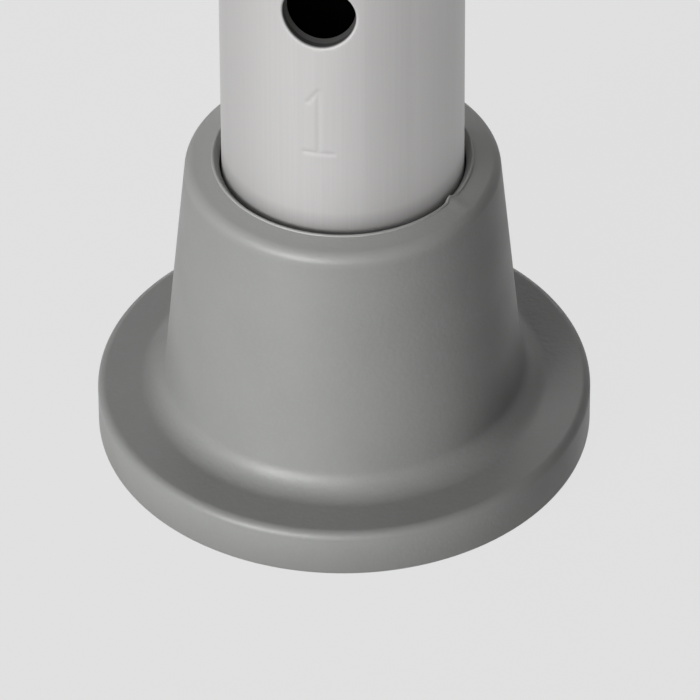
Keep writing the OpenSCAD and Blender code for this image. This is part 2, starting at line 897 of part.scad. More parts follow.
module wing_nut() {
    lobe = [wing_span / 2 - wing_lobe_r, wing_h - wing_lobe_r];
    edge = wing_lobe_r * [cos(45), -sin(45)];
    color("gainsboro")
        translate([-grip_seat, 0, grip_z])
            rotate([0, -90, 0])
                difference() {
                    union() {
                        cylinder(d = wing_hub_d, h = wing_hub_h);
                        rotate([90, 0, 0])
                            translate([0, 0, -wing_t / 2])
                                linear_extrude(wing_t)
                                    both_sides() {
                                        translate(lobe)
                                            circle(r = wing_lobe_r);
                                        polygon([[0, wing_foot], [wing_hub_d / 2, wing_foot],
                                                 lobe + edge, lobe - edge, [0, wing_hub_h]]);
                                    }
                    }
                    translate([0, 0, -cut])
                        cylinder(r = bolt_r + thread_gap, h = wing_h + 2 * cut);
                }
}

rubber_tip();
tip_washer();
leg_tube();
leg_cuff();
centre_post();
post_foot_plug();
post_top_cap();
bow_left();
bow_right();
bow_end_plugs();
junction_spacers();
junction_washers();
junction_bolts();
junction_nuts();
button_spring();
push_button();
underarm_saddle();
underarm_pad();
rest_screws();
hand_grip();
grip_core();
grip_cap_left();
grip_cap_right();
grip_bolt();
grip_washers();
wing_nut();
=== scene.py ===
# %% [markdown]
# # The looks of an underarm crutch
# The solids of the crutch are made in CAD and arrive here as a fixed frame: every tube, bolt and cap
# stands where it belongs, in metres, with the floor at zero and the leg's axis on Z.
# This notebook gives each of them a finish and models again, finer, the pieces that are seen close up
# or are soft.
# Measures of the crutch are in millimetres below and are multiplied by MM, because Blender needs metres.

# %% load the frame
import math

import bpy
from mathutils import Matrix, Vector


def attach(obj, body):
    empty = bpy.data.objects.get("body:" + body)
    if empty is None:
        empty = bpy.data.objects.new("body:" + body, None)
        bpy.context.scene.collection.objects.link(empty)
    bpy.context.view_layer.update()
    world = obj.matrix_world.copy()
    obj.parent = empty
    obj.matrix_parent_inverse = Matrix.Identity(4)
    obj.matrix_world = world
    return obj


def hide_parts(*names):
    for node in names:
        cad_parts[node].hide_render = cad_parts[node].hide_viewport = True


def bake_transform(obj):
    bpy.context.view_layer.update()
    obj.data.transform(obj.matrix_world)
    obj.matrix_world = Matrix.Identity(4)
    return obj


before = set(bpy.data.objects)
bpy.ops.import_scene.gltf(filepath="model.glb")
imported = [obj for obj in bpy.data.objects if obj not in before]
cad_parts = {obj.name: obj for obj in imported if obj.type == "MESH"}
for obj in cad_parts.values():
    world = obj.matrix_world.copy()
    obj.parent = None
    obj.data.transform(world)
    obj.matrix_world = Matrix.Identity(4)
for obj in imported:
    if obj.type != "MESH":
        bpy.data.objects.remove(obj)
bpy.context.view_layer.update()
MM = 0.001

# %% [markdown]
# ## The camera
# The picture looks down on the foot of the crutch from a little to the right of its numbered side.
# Near and far edges of the rubber flange look almost the same size, so the picture was taken with a long
# lens from a step away. A long lens is set here too, because a wide one would bulge the flange.
# The tube leans by a hair in the picture, so the camera is rolled by a third of a degree.

# %% camera
VIEW_TURN = math.radians(11.2)
VIEW_RISE = math.radians(39.37)
VIEW_ROLL = math.radians(-0.3)
VIEW_DISTANCE = 799.5 * MM
AIM_HEIGHT = 7.76 * MM
AIM_RIGHT = 0.557 * MM
LENS, SENSOR_WIDTH = 446, 36
CLIP_NEAR, CLIP_FAR = 0.01, 300

towards_camera = Vector((math.sin(VIEW_TURN) * math.cos(VIEW_RISE),
                         -math.cos(VIEW_TURN) * math.cos(VIEW_RISE), math.sin(VIEW_RISE)))
camera_right = Vector((math.cos(VIEW_TURN), math.sin(VIEW_TURN), 0))
aim = Vector((0, 0, AIM_HEIGHT)) + camera_right * AIM_RIGHT
bpy.ops.object.camera_add(location=aim + towards_camera * VIEW_DISTANCE,
                          rotation=(math.pi / 2 - VIEW_RISE, 0, VIEW_TURN))
camera = bpy.context.object
camera.rotation_euler.rotate_axis("Z", VIEW_ROLL)
camera.data.lens = LENS
camera.data.sensor_width = SENSOR_WIDTH
camera.data.clip_start = CLIP_NEAR
camera.data.clip_end = CLIP_FAR
bpy.context.scene.camera = camera
bpy.context.scene.view_settings.view_transform = "Standard"
print("camera at", [round(c, 3) for c in camera.location])

# %% [markdown]
# ## Nodes for the finishes
# Every finish is a small graph of procedural nodes: patterns that are computed at each point from its
# place on the object, so they need no pictures and look right from every side. The same few steps come
# back in each graph, so they are written once: a pattern, a ramp that turns it into colours or numbers,
# a tint that lays one colour over another, and a bump that turns a pattern into fine relief.

# %% node helpers
# A Mix node has its colour sockets after those for numbers and vectors.
MIX_AMOUNT, MIX_UNDER, MIX_OVER, MIX_RESULT = 0, 6, 7, 2


def new_finish(name, metallic=0.0, specular=0.5):
    finish = bpy.data.materials.new(name)
    finish.use_nodes = True
    shader = finish.node_tree.nodes["Principled BSDF"]
    shader.inputs["Metallic"].default_value = metallic
    shader.inputs["Specular IOR Level"].default_value = specular
    return finish, finish.node_tree, shader


def add_node(graph, kind, **values):
    added = graph.nodes.new(kind)
    for name, value in values.items():
        socket = added.inputs[name.replace("_", " ")]
        if hasattr(value, "is_linked"):
            graph.links.new(value, socket)
        else:
            socket.default_value = value
    return added


def object_place(graph, stretch=(1, 1, 1)):
    place = graph.nodes.new("ShaderNodeTexCoord").outputs["Object"]
    return add_node(graph, "ShaderNodeMapping", Vector=place, Scale=stretch).outputs["Vector"]


def vector_length(graph, vector):
    length = add_node(graph, "ShaderNodeVectorMath", Vector=vector)
    length.operation = "LENGTH"
    return length.outputs["Value"]


def grain(graph, scale, detail=3.0, stretch=(1, 1, 1)):
    place = object_place(graph, stretch)
    noise = add_node(graph, "ShaderNodeTexNoise", Vector=place, Scale=scale, Detail=detail)
    return noise.outputs["Fac"]


def cells(graph, scale):
    place = object_place(graph)
    return add_node(graph, "ShaderNodeTexVoronoi", Vector=place, Scale=scale).outputs["Distance"]


def spread(graph, pattern, low, high, start=0.3, end=0.7):
    ramp = add_node(graph, "ShaderNodeMapRange", Value=pattern, From_Min=start, From_Max=end,
                    To_Min=low, To_Max=high)
    return ramp.outputs["Result"]


def height_blend(graph, none_at, full_at, amount):
    place = graph.nodes.new("ShaderNodeTexCoord").outputs["Object"]
    z = add_node(graph, "ShaderNodeSeparateXYZ", Vector=place).outputs["Z"]
    return spread(graph, z, low=0.0, high=amount, start=none_at * MM, end=full_at * MM)


def colours(graph, pattern, dark, light, start=0.3, end=0.7):
    ramp = add_node(graph, "ShaderNodeValToRGB", Fac=pattern)
    first, last = ramp.color_ramp.elements
    first.position, last.position = start, end
    first.color, last.color = (*dark, 1), (*light, 1)
    return ramp.outputs["Color"]


def tint(graph, amount, under, over):
    mix = graph.nodes.new("ShaderNodeMix")
    mix.data_type = "RGBA"
    graph.links.new(amount, mix.inputs[MIX_AMOUNT])
    graph.links.new(under, mix.inputs[MIX_UNDER])
    mix.inputs[MIX_OVER].default_value = (*over, 1)
    return mix.outputs[MIX_RESULT]


def relief(graph, pattern, depth, strength, under=None):
    bump = add_node(graph, "ShaderNodeBump", Height=pattern, Distance=depth * MM, Strength=strength)
    if under is not None:
        graph.links.new(under, bump.inputs["Normal"])
    return bump.outputs["Normal"]


def seen_by(graph, first, *others):
    path = graph.nodes.new("ShaderNodeLightPath")
    seen = path.outputs[first]
    for other in others:
        either = add_node(graph, "ShaderNodeMath", Value=seen)
        either.operation = "MAXIMUM"
        graph.links.new(path.outputs[other], either.inputs[1])
        seen = either.outputs[0]
    return seen


print("node helpers ready")

# %% [markdown]
# ## Light, floor and background
# A crutch in a catalogue stands on a pale sweep in soft light. One large lamp, the key, stands before the
# crutch and a little to the left, low enough to light the upright rubber and tube more than the flange's
# top. A weak high lamp softens that. A third lamp is seen only in the shine: it draws the bright lines on
# the rubber's roundings and doesn't light the rest. Two lamps behind give the far side its form, and
# the world fills the shadows.
# Background and floor have one pale grey. The camera and shiny surfaces see it as a plain tone, with
# part of the floor's own shading left in, so that the foot of the crutch still stands in a soft shadow.
# The ceiling is darker than the rest, because metal shows its form only by what it mirrors.

# %% lamps
LAMP_AIM = Vector((0, 0, 0.5))
LAMPS = (  # name, turn in degrees from the front, distance, height and size in metres, watts
    ("key_lamp", -26, 3.0, 0.6, 1.4, 80),
    ("high_lamp", -14, 2.4, 2.2, 1.4, 12),
    ("shine_lamp", -6, 3.0, 0.6, 1.4, 20),
    ("back_lamp", 192, 3.2, 0.3, 1.6, 28),
    ("side_lamp", 150, 3.2, 0.3, 1.6, 3),
)

for name, degrees, distance, height, size, watts in LAMPS:
    angle = math.radians(degrees)
    place = Vector((distance * math.sin(angle), -distance * math.cos(angle), height))
    look = (LAMP_AIM - place).to_track_quat("-Z", "Y").to_euler()
    bpy.ops.object.light_add(type="AREA", location=place, rotation=look)
    lamp = bpy.context.object
    lamp.name = name
    lamp.data.size = size
    lamp.data.energy = watts
    lamp.visible_camera = False
    lamp.visible_diffuse = name != "shine_lamp"

# %% world
PALE, CEILING, FILL = 0.76, 0.42, 0.015
CEILING_START, CEILING_FULL = 0.2, 0.8

world = bpy.data.worlds.new("pale_room")
bpy.context.scene.world = world
world.use_nodes = True
room = world.node_tree
direction = room.nodes.new("ShaderNodeTexCoord").outputs["Generated"]
upwards = add_node(room, "ShaderNodeSeparateXYZ", Vector=direction).outputs["Z"]
walls = spread(room, upwards, low=PALE, high=CEILING, start=CEILING_START, end=CEILING_FULL)
seen = seen_by(room, "Is Camera Ray", "Is Glossy Ray", "Is Transmission Ray")
level = add_node(room, "ShaderNodeMapRange", Value=seen, To_Min=FILL, To_Max=walls)
sky = room.nodes["Background"]
sky.inputs["Color"].default_value = (1, 1, 1, 1)
room.links.new(level.outputs["Result"], sky.inputs["Strength"])
print("background at", PALE, "with a ceiling at", CEILING)

# %% floor
FLOOR_SIZE, FLOOR_DROP, FLOOR_GREY = 400, 0.0002, 0.4
SHADOW_NEAR, SHADOW_FAR = 0.25, 1.4
PLAIN_NEAR, GLOW_NEAR = 0.88, 1.10

bpy.ops.mesh.primitive_plane_add(size=FLOOR_SIZE, location=(0, 0, -FLOOR_DROP))
floor = bpy.context.object
floor.name = "floor"
floor_paint = bpy.data.materials.new("pale_floor")
floor_paint.use_nodes = True
graph = floor_paint.node_tree
graph.nodes.remove(graph.nodes["Principled BSDF"])
reach = vector_length(graph, graph.nodes.new("ShaderNodeTexCoord").outputs["Object"])
share = add_node(graph, "ShaderNodeMath", Value=seen_by(graph, "Is Camera Ray", "Is Glossy Ray"))
share.operation = "MULTIPLY"
plain = spread(graph, reach, low=PLAIN_NEAR, high=1.0, start=SHADOW_NEAR, end=SHADOW_FAR)
graph.links.new(plain, share.inputs[1])
lit = add_node(graph, "ShaderNodeBsdfDiffuse", Color=(FLOOR_GREY, FLOOR_GREY, FLOOR_GREY, 1))
strength = spread(graph, reach, low=GLOW_NEAR, high=1.0, start=SHADOW_NEAR, end=SHADOW_FAR)
glow = add_node(graph, "ShaderNodeEmission", Color=(PALE, PALE, PALE, 1), Strength=strength)
blend = add_node(graph, "ShaderNodeMixShader", Fac=share.outputs[0])
graph.links.new(lit.outputs[0], blend.inputs[1])
graph.links.new(glow.outputs[0], blend.inputs[2])
graph.links.new(blend.outputs[0], graph.nodes["Material Output"].inputs["Surface"])
floor.data.materials.append(floor_paint)
print("floor at", PALE)

# %% [markdown]
# ## The finishes
# The tip is moulded from warm grey rubber: dull, faintly mottled, with a very fine skin, painted light that
# makes the mouth paler and painted shade that darkens it towards the sole. The tubes are drawn aluminium
# with a
# satin skin: fine lines run along the tube and make the shine soft. The leg has the same skin, with painted
# shade where it enters the tip, inside it and in the cut walls of its holes. Bolts and nuts are zinc-plated
# steel, caps and plugs are dark moulded plastic with a sanded skin, and the pad and the grip are closed-cell
# foam. Each finish varies in colour, shine and relief at its own scale, because a single flat colour looks
# like paint on a toy.

# %% rubber of the tip
tip_rubber, graph, shader = new_finish("tip_rubber", specular=0.7)
speckle = grain(graph, scale=2600, detail=2)
mottle = colours(graph, grain(graph, scale=160, detail=4),
                 dark=(0.332, 0.338, 0.328), light=(0.350, 0.356, 0.345))
specks = spread(graph, speckle, low=0.0, high=0.22, start=0.45, end=0.75)
skin = tint(graph, specks, mottle, over=(0.40, 0.405, 0.395))
# painted light: the rubber is painted paler towards the mouth, so the lip's top and its highlight read
# brighter
mouth_painted_light = height_blend(graph, none_at=28.8, full_at=30.5, amount=0.75)
with_mouth_light = tint(graph, mouth_painted_light, skin, over=(0.50, 0.505, 0.49))
# painted shade: the rubber is painted darker towards the sole, so the flange's side reads less lit by the
# floor
sole_painted_shade = height_blend(graph, none_at=3.6, full_at=0.0, amount=0.5)
with_painted_shade = tint(graph, sole_painted_shade, with_mouth_light, over=(0.18, 0.18, 0.17))
dullness = spread(graph, grain(graph, scale=220), low=0.44, high=0.52)
pores = relief(graph, speckle, depth=0.04, strength=0.5)
waves = relief(graph, grain(graph, scale=500), depth=0.06, strength=0.35, under=pores)
graph.links.new(with_painted_shade, shader.inputs["Base Color"])
graph.links.new(dullness, shader.inputs["Roughness"])
graph.links.new(waves, shader.inputs["Normal"])
print("finish:", tip_rubber.name)

# %% satin skin of the tubes
satin_tube, graph, shader = new_finish("satin_tube", metallic=1.0)
lines = grain(graph, scale=1, detail=4, stretch=(5200, 5200, 60))
cloud = colours(graph, grain(graph, scale=45), dark=(0.508, 0.502, 0.500), light=(0.528, 0.522, 0.520))
dullness = spread(graph, lines, low=0.75, high=0.79, start=0.35, end=0.65)
scratches = relief(graph, lines, depth=0.002, strength=0.12)
graph.links.new(cloud, shader.inputs["Base Color"])
graph.links.new(dullness, shader.inputs["Roughness"])
graph.links.new(scratches, shader.inputs["Normal"])
print("finish:", satin_tube.name)

# %% leg skin with painted shade
INNER_SKIN, OUTER_SKIN = 10.70, 10.92
satin_leg = satin_tube.copy()
satin_leg.name = "satin_leg"
graph = satin_leg.node_tree
shader = graph.nodes["Principled BSDF"]
clean = shader.inputs["Base Color"].links[0].from_socket
# painted shade: the leg is painted darker just above the tip's mouth, where the collar shades it and darkens
# what it mirrors
collar_painted_shade = height_blend(graph, none_at=32.6, full_at=30.4, amount=0.42)
with_painted_shade = tint(graph, collar_painted_shade, clean, over=(0.17, 0.165, 0.16))
# painted shade: the inside of the tube and the cut walls of its holes are painted dark
across = vector_length(graph, object_place(graph, stretch=(1, 1, 0)))
hole_painted_shade = spread(graph, across, low=1.0, high=0.0, start=INNER_SKIN * MM, end=OUTER_SKIN * MM)
with_hole_shade = tint(graph, hole_painted_shade, with_painted_shade, over=(0.13, 0.127, 0.125))
graph.links.new(with_hole_shade, shader.inputs["Base Color"])
print("finish:", satin_leg.name)

# %% plated steel
zinc_steel, graph, shader = new_finish("zinc_steel", metallic=1.0)
patches = grain(graph, scale=260)
plating = colours(graph, patches, dark=(0.42, 0.42, 0.414), light=(0.50, 0.50, 0.49))
dullness = spread(graph, patches, low=0.52, high=0.64)
pits = relief(graph, grain(graph, scale=1800, detail=2), depth=0.012, strength=0.4)
graph.links.new(plating, shader.inputs["Base Color"])
graph.links.new(dullness, shader.inputs["Roughness"])
graph.links.new(pits, shader.inputs["Normal"])
print("finish:", zinc_steel.name)

# %% moulded plastic
dark_plastic, graph, shader = new_finish("dark_plastic", specular=0.45)
sanded = grain(graph, scale=2400, detail=2)
flow = colours(graph, grain(graph, scale=70), dark=(0.060, 0.060, 0.061), light=(0.078, 0.078, 0.079))
dullness = spread(graph, sanded, low=0.42, high=0.56)
graph.links.new(flow, shader.inputs["Base Color"])
graph.links.new(dullness, shader.inputs["Roughness"])
graph.links.new(relief(graph, sanded, depth=0.03, strength=0.4), shader.inputs["Normal"])
print("finish:", dark_plastic.name)

# %% closed-cell foam
grey_foam, graph, shader = new_finish("grey_foam", specular=0.25)
bubbles = cells(graph, scale=1300)
blush = colours(graph, grain(graph, scale=60, detail=4),
                dark=(0.225, 0.220, 0.212), light=(0.268, 0.262, 0.252))
hollows = spread(graph, bubbles, low=0.0, high=0.3, start=0.35, end=0.8)
pitted = tint(graph, hollows, blush, over=(0.15, 0.147, 0.14))
dullness = spread(graph, grain(graph, scale=180), low=0.72, high=0.86)
graph.links.new(pitted, shader.inputs["Base Color"])
graph.links.new(dullness, shader.inputs["Roughness"])
graph.links.new(relief(graph, bubbles, depth=0.08, strength=0.45), shader.inputs["Normal"])
print("finish:", grey_foam.name)

# %% [markdown]
# ## Modelling helpers
# An operator works on whatever is selected, so each piece starts from an empty selection. Turned pieces
# are made as on a lathe: one point is pulled along the section by extruding it, and the chain is spun
# round the axis. The seam is merged and the faces are turned outwards. A finished piece is dressed: it gets
# its finish, the body that it rides on and the solids that it stands in for.

# %% modelling helpers
SEAM_GAP = 0.002
SELECT_MODES = {"vertices": "VERT", "edges": "EDGE", "polygons": "FACE"}


def clear_selection():
    if bpy.context.mode != "OBJECT":
        bpy.ops.object.mode_set(mode="OBJECT")
    bpy.ops.object.select_all(action="DESELECT")


def pick(obj):
    clear_selection()
    obj.select_set(True)
    bpy.context.view_layer.objects.active = obj


def arc(centre, radius, start, end, steps):
    angles = [math.radians(start + (end - start) * i / steps) for i in range(steps + 1)]
    return [(centre[0] + radius * math.cos(t), centre[1] + radius * math.sin(t)) for t in angles]


def pull(move):
    bpy.ops.mesh.extrude_region_move(TRANSFORM_OT_translate={"value": move})


def face_outwards():
    bpy.ops.mesh.select_all(action="SELECT")
    bpy.ops.mesh.normals_make_consistent(inside=False)


def chain(name, points):
    clear_selection()
    bpy.ops.mesh.primitive_plane_add(size=MM, location=points[0])
    line = bpy.context.object
    line.name = line.data.name = name
    bpy.ops.object.mode_set(mode="EDIT")
    bpy.ops.mesh.select_mode(type="VERT")
    bpy.ops.mesh.select_all(action="SELECT")
    bpy.ops.mesh.merge(type="CENTER")
    for here, there in zip(points, points[1:]):
        pull(there - here)
    return line


def lathe(name, section, steps):
    turned = chain(name, [Vector((r, 0, z)) * MM for r, z in section])
    bpy.ops.mesh.select_all(action="SELECT")
    bpy.ops.mesh.spin(steps=steps, angle=2 * math.pi, center=(0, 0, 0), axis=(0, 0, 1))
    bpy.ops.mesh.select_all(action="SELECT")
    bpy.ops.mesh.remove_doubles(threshold=SEAM_GAP * MM)
    bpy.ops.mesh.normals_make_consistent(inside=False)
    bpy.ops.object.mode_set(mode="OBJECT")
    bpy.ops.object.transform_apply(location=True, rotation=True, scale=True)
    return turned


def select_where(obj, kind, wanted):
    bpy.ops.object.mode_set(mode="EDIT")
    bpy.ops.mesh.select_mode(type=SELECT_MODES[kind])
    bpy.ops.mesh.select_all(action="DESELECT")
    bpy.ops.object.mode_set(mode="OBJECT")
    for part in getattr(obj.data, kind):
        part.select = wanted(part)
    bpy.ops.object.mode_set(mode="EDIT")


def apply_modifier(obj, kind, **settings):
    pick(obj)
    bpy.ops.object.modifier_add(type=kind)
    added = obj.modifiers[-1]
    for name, value in settings.items():
        setattr(added, name, value)
    bpy.ops.object.modifier_apply(modifier=added.name)


def cut_away(obj, cutter):
    apply_modifier(obj, "BOOLEAN", operation="DIFFERENCE", object=cutter, solver="MANIFOLD")
    pick(cutter)
    bpy.ops.object.delete()


def coat(piece, finish, smooth=35):
    pick(piece)
    bpy.ops.object.transform_apply(location=True, rotation=True, scale=True)
    bpy.ops.object.shade_smooth_by_angle(angle=math.radians(smooth))
    piece.data.materials.clear()
    piece.data.materials.append(finish)


def dress(piece, body, finish, slot, *nodes, smooth):
    coat(piece, finish, smooth)
    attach(piece, body)
    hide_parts(*nodes)
    print(piece.name, "rides on", body, "with", len(piece.data.polygons), "faces")


print("modelling helpers ready")

# %% [markdown]
# ## The rubber tip
# The tip is a moulded ferrule: a thick sole with ring treads, a flange, and a slightly tapered collar that
# grips the tube. Its lip falls outwards from a thin bead round the mouth and rounds over into the collar.
# It is round all the way, so its section is drawn once, from the socket's floor over the lip and down
# to the sole, and spun. The lip, the fillet and the flange's rim are arcs of many short steps, because
# their highlights are what the eye reads. At one place the mould has left a nick of flash on the bead,
# and a few points of the bead are drawn up and inwards there.

# %% tip
SOCKET_R, SOCKET_FLOOR, TIP_TOP = 11.05, 8.5, 30.0
SOCKET_WIDENS = ((0.1, -3.0), (0.15, 0.1))
FLANGE_R, FLANGE_TOP = 22.75, 4.8
CONE_LEAN = math.degrees(math.atan(0.09524))
BEAD, BEAD_R = (11.8, 30.6), 0.15
LIP, LIP_R, LIP_FALL = (13.18, 29.1), 1.2, 15
FILLET, FILLET_R = (18.882, 7.2), 2.4
RIM_R, SOLE_R = 0.8, 0.4
GROOVE_DEEP, GROOVE_DRAFT, GROOVES = 1.2, 0.3, ((18, 16), (12, 10), (6, 4))
TIP_SIDES = 192

section = [(0, SOCKET_FLOOR), (SOCKET_R, SOCKET_FLOOR)]
section += [(SOCKET_R + out, TIP_TOP + up) for out, up in SOCKET_WIDENS]
section += arc(BEAD, BEAD_R, 180, 0, steps=8)
section += arc(LIP, LIP_R, 90 - LIP_FALL, CONE_LEAN, steps=14)
section += arc(FILLET, FILLET_R, 180 + CONE_LEAN, 270, steps=16)
section += arc((FLANGE_R - RIM_R, FLANGE_TOP - RIM_R), RIM_R, 90, 0, steps=10)
section += arc((FLANGE_R - SOLE_R, SOLE_R), SOLE_R, 0, -90, steps=8)
for outer, inner in GROOVES:
    section += [(outer, 0), (outer - GROOVE_DRAFT, GROOVE_DEEP),
                (inner + GROOVE_DRAFT, GROOVE_DEEP), (inner, 0)]
section.append((0, 0))
tip = lathe("tip_moulding", section, TIP_SIDES)
print("tip turned:", [round(side / MM, 2) for side in tip.dimensions], "mm")

# %% flash on the tip's mouth
FLASH_TURN, FLASH_HALF, FLASH_UP, FLASH_IN = 67, 3.8, 0.2, 0.26

for vertex in tip.data.vertices:
    off = math.degrees(math.atan2(vertex.co.x, -vertex.co.y)) - FLASH_TURN
    reach = math.hypot(vertex.co.x, vertex.co.y) / MM
    on_bead = abs(reach - BEAD[0]) < 2 * BEAD_R and vertex.co.z > TIP_TOP * MM
    if on_bead and abs(off) < FLASH_HALF:
        lift = math.cos(math.pi / 2 * off / FLASH_HALF) ** 2
        vertex.co.x *= 1 - FLASH_IN * lift / reach
        vertex.co.y *= 1 - FLASH_IN * lift / reach
        vertex.co.z += FLASH_UP * lift * MM
dress(tip, "leg", tip_rubber, "tip_rubber", "rubber_tip", smooth=40)

# %% [markdown]
# ## The leg tube
# The lower leg is a drawn tube with seven setting holes down its front, each numbered underneath by a
# stamp. The punch leaves a rounded edge round each hole. A cutter shaped like a small trumpet makes hole
# and rounded edge in one cut; it is bent to follow the tube, and copied up the leg. A stamp presses the skin
# in without cutting it, so each number gets a window of very small faces, and the points under its strokes
# are pressed in to a round floor. A boolean cut would leave sharp walls instead.

# %% tube blank
LEG_R, LEG_WALL, LEG_SIDES = 11.0, 1.2, 240
LEG_FOOT, LEG_TOP = 10.0, 347.0
HOLE_R, HOLE_FIRST, HOLE_PITCH, HOLE_COUNT = 3.3, 54.3, 25.0, 7

clear_selection()
bpy.ops.mesh.primitive_cylinder_add(vertices=LEG_SIDES, radius=LEG_R * MM,
                                    depth=(LEG_TOP - LEG_FOOT) * MM, end_fill_type="NOTHING",
                                    location=(0, 0, (LEG_FOOT + LEG_TOP) / 2 * MM))
leg = bpy.context.object
leg.name = leg.data.name = "leg_tube_drawn"
bpy.ops.object.transform_apply(location=True)
apply_modifier(leg, "SOLIDIFY", thickness=LEG_WALL * MM, offset=-1)
print("tube blank:", [round(side / MM, 2) for side in leg.dimensions], "mm")

# %% hole cutters
EDGE_R, EDGE_START, EDGE_END, TAPER = 0.28, 168, 105, 0.2
PUNCH_DEEP, PUNCH_HEAD, PUNCH_SIDES = 3.2, 1.5, 96
HEAD_OUT, HEAD_UP, CLEAN_CUT = 0.37, 0.1, 0.6


def make_punch(tube_r, hole_r, wall):
    neck_r = hole_r - TAPER
    trumpet = [(0, -PUNCH_DEEP), (neck_r, -PUNCH_DEEP), (neck_r, -wall)]
    trumpet += [(hole_r, -CLEAN_CUT * wall), (hole_r, -EDGE_R)]
    trumpet += arc((hole_r + EDGE_R, -EDGE_R), EDGE_R, EDGE_START, EDGE_END, steps=6)
    head_r, head_h = trumpet[-1][0] + HEAD_OUT, trumpet[-1][1] + HEAD_UP
    trumpet += [(head_r, head_h), (head_r, PUNCH_HEAD), (0, PUNCH_HEAD)]
    punch = lathe("punch", trumpet, PUNCH_SIDES)
    punch.rotation_euler = (math.pi / 2, 0, 0)
    punch.location = (0, -tube_r * MM, 0)
    pick(punch)
    bpy.ops.object.transform_apply(location=True, rotation=True)
    for vertex in punch.data.vertices:
        vertex.co.y += (tube_r - math.sqrt(tube_r ** 2 - (vertex.co.x / MM) ** 2)) * MM
    return punch


def punch_holes(tube, punch, places):
    copies = []
    for x, z, degrees in places:
        pick(punch)
        bpy.ops.object.duplicate()
        copies.append(bpy.context.object)
        copies[-1].location = (x * MM, 0, z * MM)
        copies[-1].rotation_euler = (0, 0, math.radians(degrees))
    pick(punch)
    bpy.ops.object.delete()
    for copy in copies:
        copy.select_set(True)
    bpy.context.view_layer.objects.active = copies[0]
    bpy.ops.object.transform_apply(location=True, rotation=True)
    if len(copies) > 1:
        bpy.ops.object.join()
    cut_away(tube, bpy.context.object)
    print("holes punched in", tube.name, ":", len(copies))


print("punch with an edge of", EDGE_R, "mm ready")

# %% number windows
NUMBER_W, NUMBER_H, NUMBER_DROP = 1.275, 3.465, 11.6
WINDOW_W, WINDOW_H, FRAME_HALF = 2.2, 4.3, 4.7
FRAME_ROWS, ROWS, COLUMN_CUTS = 31, 79, 2
NEAR = 0.01
NUMBER_MIDDLES = [HOLE_FIRST + i * HOLE_PITCH - NUMBER_DROP for i in range(HOLE_COUNT)]


def on_front(points, half_w, half_h, rise=0.0):
    middle = sum(points, Vector()) / len(points) / MM
    level = any(abs(middle.z - z - rise) < half_h + NEAR for z in NUMBER_MIDDLES)
    front = abs(middle.x) < half_w and middle.y < -LEG_R + 1.5 * LEG_WALL
    return level and front and math.hypot(middle.x, middle.y) > LEG_R - LEG_WALL / 2


def cut_edges(upright, cuts, *place):
    def wanted(edge):
        ends = [leg.data.vertices[i].co for i in edge.vertices]
        return on_front(ends, *place) and (abs(ends[0].z - ends[1].z) > NEAR * MM) == upright
    select_where(leg, "edges", wanted)
    bpy.ops.mesh.subdivide(number_cuts=cuts)


pick(leg)
bpy.ops.object.mode_set(mode="EDIT")
for middle in NUMBER_MIDDLES:
    hole = middle + NUMBER_DROP
    for height in (middle - WINDOW_H, middle + WINDOW_H, hole - FRAME_HALF, hole + FRAME_HALF):
        bpy.ops.mesh.select_all(action="SELECT")
        bpy.ops.mesh.bisect(plane_co=(0, 0, height * MM), plane_no=(0, 0, 1))
cut_edges(True, FRAME_ROWS, FRAME_HALF, FRAME_HALF, NUMBER_DROP)
cut_edges(True, ROWS, WINDOW_W, WINDOW_H)
cut_edges(False, COLUMN_CUTS, WINDOW_W, WINDOW_H)
bpy.ops.object.mode_set(mode="OBJECT")
print("leg tube with number windows:", len(leg.data.polygons), "faces")

# %% number stamps
STROKE_HALF, STROKE_DEEP, STROKE_BURR = 0.36, 0.045, 0.005
NUMBERS = [
    [[(-0.75, 0.62), (0, 1), (0, -1)], [(-1, -1), (0, -1), (1, -1)]],
    [[(-1, 0.65), (-0.5, 1), (0.5, 1), (1, 0.7), (1, 0.35), (-1, -1), (0, -1), (1, -1)]],
    [[(-1, 1), (0, 1), (1, 1), (-0.1, 0.2), (0.5, 0.2), (1, -0.1), (1, -0.7), (0.5, -1), (-0.5, -1),
      (-1, -0.75)]],
    [[(0.5, -1), (0.5, 1), (-1, -0.45), (0, -0.45), (1, -0.45)]],
    [[(0.9, 1), (0, 1), (-0.8, 1), (-1, 0.15), (0.5, 0.15), (1, -0.15), (1, -0.7), (0.5, -1), (-0.5, -1),
      (-1, -0.75)]],
    [[(0.7, 1), (-0.5, 0.55), (-1, -0.1), (-1, -0.7), (-0.5, -1), (0.5, -1), (1, -0.7), (1, -0.2),
      (0.5, 0.1), (-0.6, 0.1)]],
    [[(-1, 1), (0, 1), (1, 1), (-0.3, -1)]],
]


def stroke_distance(x, y, strokes):
    distances = []
    for (x0, y0), (x1, y1) in strokes:
        run, rise = x1 - x0, y1 - y0
        along = max(0, min(1, ((x - x0) * run + (y - y0) * rise) / (run * run + rise * rise)))
        distances.append(math.hypot(x - x0 - along * run, y - y0 - along * rise))
    return min(distances)


def stamp_depth(distance):
    if distance > 2 * STROKE_HALF:
        return 0.0
    if distance > STROKE_HALF:
        return -STROKE_BURR * math.sin(math.pi * (distance / STROKE_HALF - 1)) ** 2
    return STROKE_DEEP * math.cos(math.pi / 2 * distance / STROKE_HALF) ** 2


